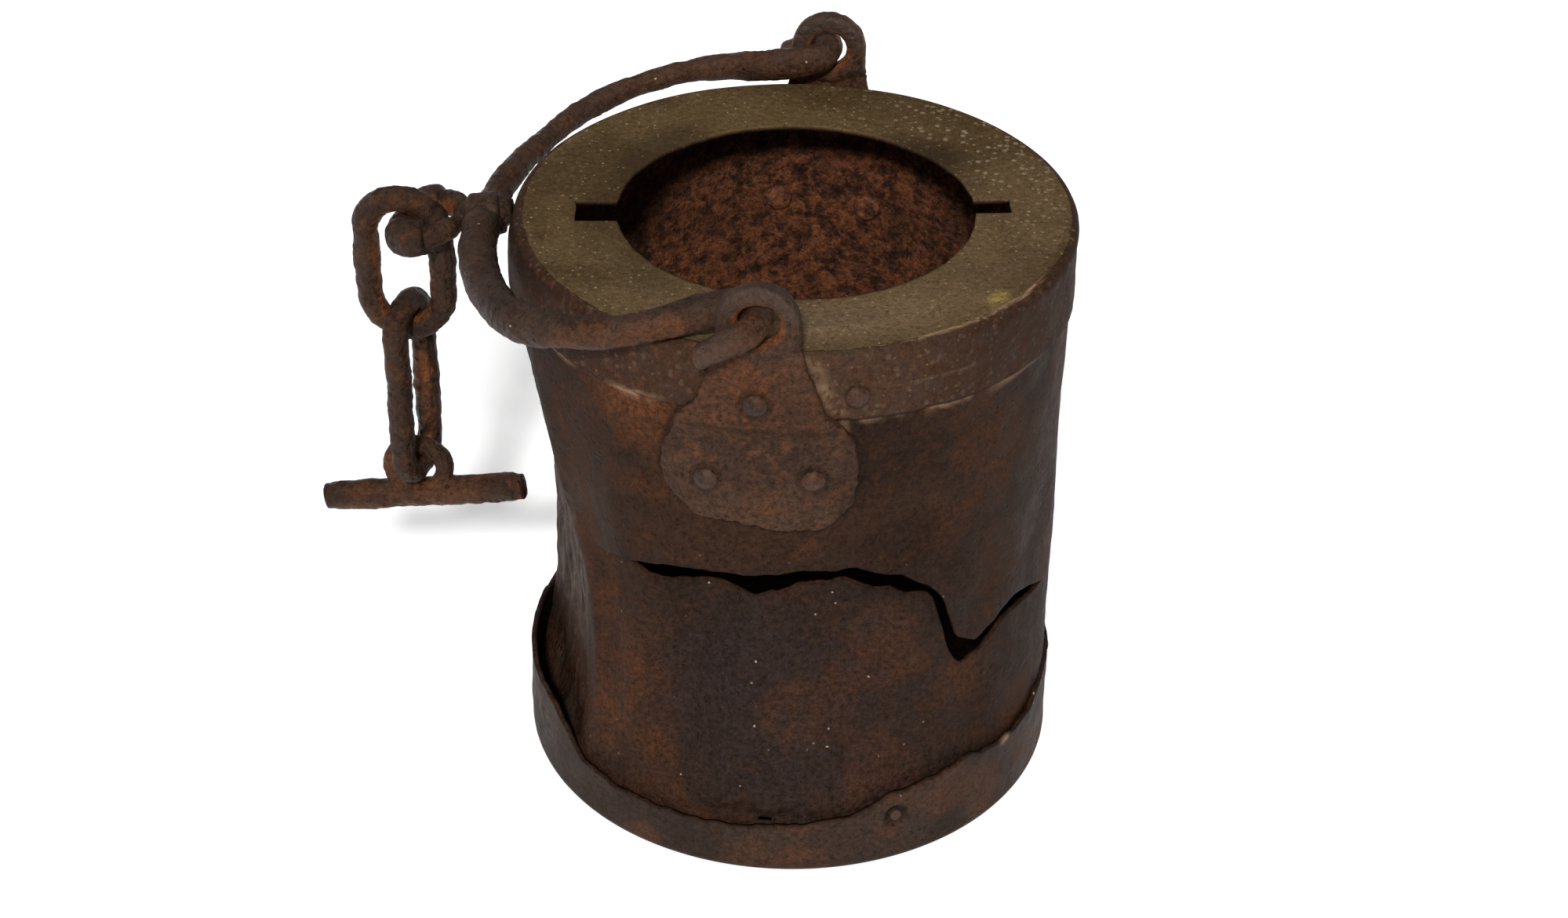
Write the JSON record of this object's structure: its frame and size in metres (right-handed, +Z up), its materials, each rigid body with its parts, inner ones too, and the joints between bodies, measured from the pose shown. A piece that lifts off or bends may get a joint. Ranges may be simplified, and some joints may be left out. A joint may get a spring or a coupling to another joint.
{
  "type": "riveted sheet-iron bucket with chain",
  "caption": "Round riveted sheet-iron bucket with a plate rim, two side ears, a swinging bail, a swivel, two chain links and a toggle bar.",
  "frame": {"origin": "centre of the bucket's flat underside, on its axis", "axes": "+Z up the bucket's axis to its mouth, Y through the two ears and the bail's hinge axis, -X to the side on which the bail and chain lie"},
  "size_m": [0.2836, 0.237, 0.2527],
  "materials": {
    "wall_iron": "dark chocolate-brown rust, matte, finely pitted",
    "top_plate_iron": "olive-brown aged coating with pale specks, matte",
    "bottom_plate_iron": "dark brown rust, matte",
    "ear_iron": "brown rust, worn smooth at the eye",
    "rivet_iron": "dark brown rust, matte",
    "bail_iron": "brown forged iron with a dull sheen",
    "chain_iron": "dark forged iron, orange rust inside the curves"
  },
  "bodies": {
    "bucket": {"body_shell": "wall_iron", "top_plate": "top_plate_iron", "bottom_plate": "bottom_plate_iron", "front_ear": "ear_iron", "rear_ear": "ear_iron", "front_ear_upper_rivet": "rivet_iron", "front_ear_left_rivet": "rivet_iron", "front_ear_right_rivet": "rivet_iron", "rear_ear_upper_rivet": "rivet_iron", "rear_ear_left_rivet": "rivet_iron", "rear_ear_right_rivet": "rivet_iron", "top_rivet_1": "rivet_iron", "top_rivet_2": "rivet_iron", "top_rivet_3": "rivet_iron", "top_rivet_4": "rivet_iron", "bottom_rivet_1": "rivet_iron", "bottom_rivet_2": "rivet_iron", "bottom_rivet_3": "rivet_iron", "bottom_rivet_4": "rivet_iron", "bottom_rivet_5": "rivet_iron", "seam_rivet_1": "rivet_iron", "seam_rivet_2": "rivet_iron", "seam_rivet_3": "rivet_iron", "seam_rivet_4": "rivet_iron", "seam_rivet_5": "rivet_iron"},
    "bail": {"bail": "bail_iron"},
    "swivel": {"swivel": "chain_iron"},
    "upper_link": {"upper_link": "chain_iron"},
    "lower_link": {"lower_link": "chain_iron"},
    "toggle": {"toggle": "chain_iron"}
  },
  "joints": [
    {"name": "bail_hinge", "type": "hinge", "parent": "bucket", "child": "bail", "pos_m": [0, 0, 0.2385], "axis": [0, 1, 0], "range_deg": [0, 204]},
    {"name": "swivel_spin", "type": "hinge", "parent": "bail", "child": "swivel", "pos_m": [-0.11257, 0, 0.21355], "axis": [-0.9763, 0, -0.2164], "continuous": true},
    {"name": "upper_link_swing", "type": "hinge", "parent": "swivel", "child": "upper_link", "pos_m": [-0.14439, 0, 0.20649], "axis": [0, 1, 0], "range_deg": [0, 156]},
    {"name": "lower_link_swing", "type": "hinge", "parent": "upper_link", "child": "lower_link", "pos_m": [-0.14439, 0, 0.16329], "axis": [1, 0, 0], "range_deg": [-90, 90]},
    {"name": "toggle_swing", "type": "hinge", "parent": "lower_link", "child": "toggle", "pos_m": [-0.14439, 0, 0.10099], "axis": [-0.0175, 0.9998, 0], "range_deg": [-80, 80]}
  ]
}
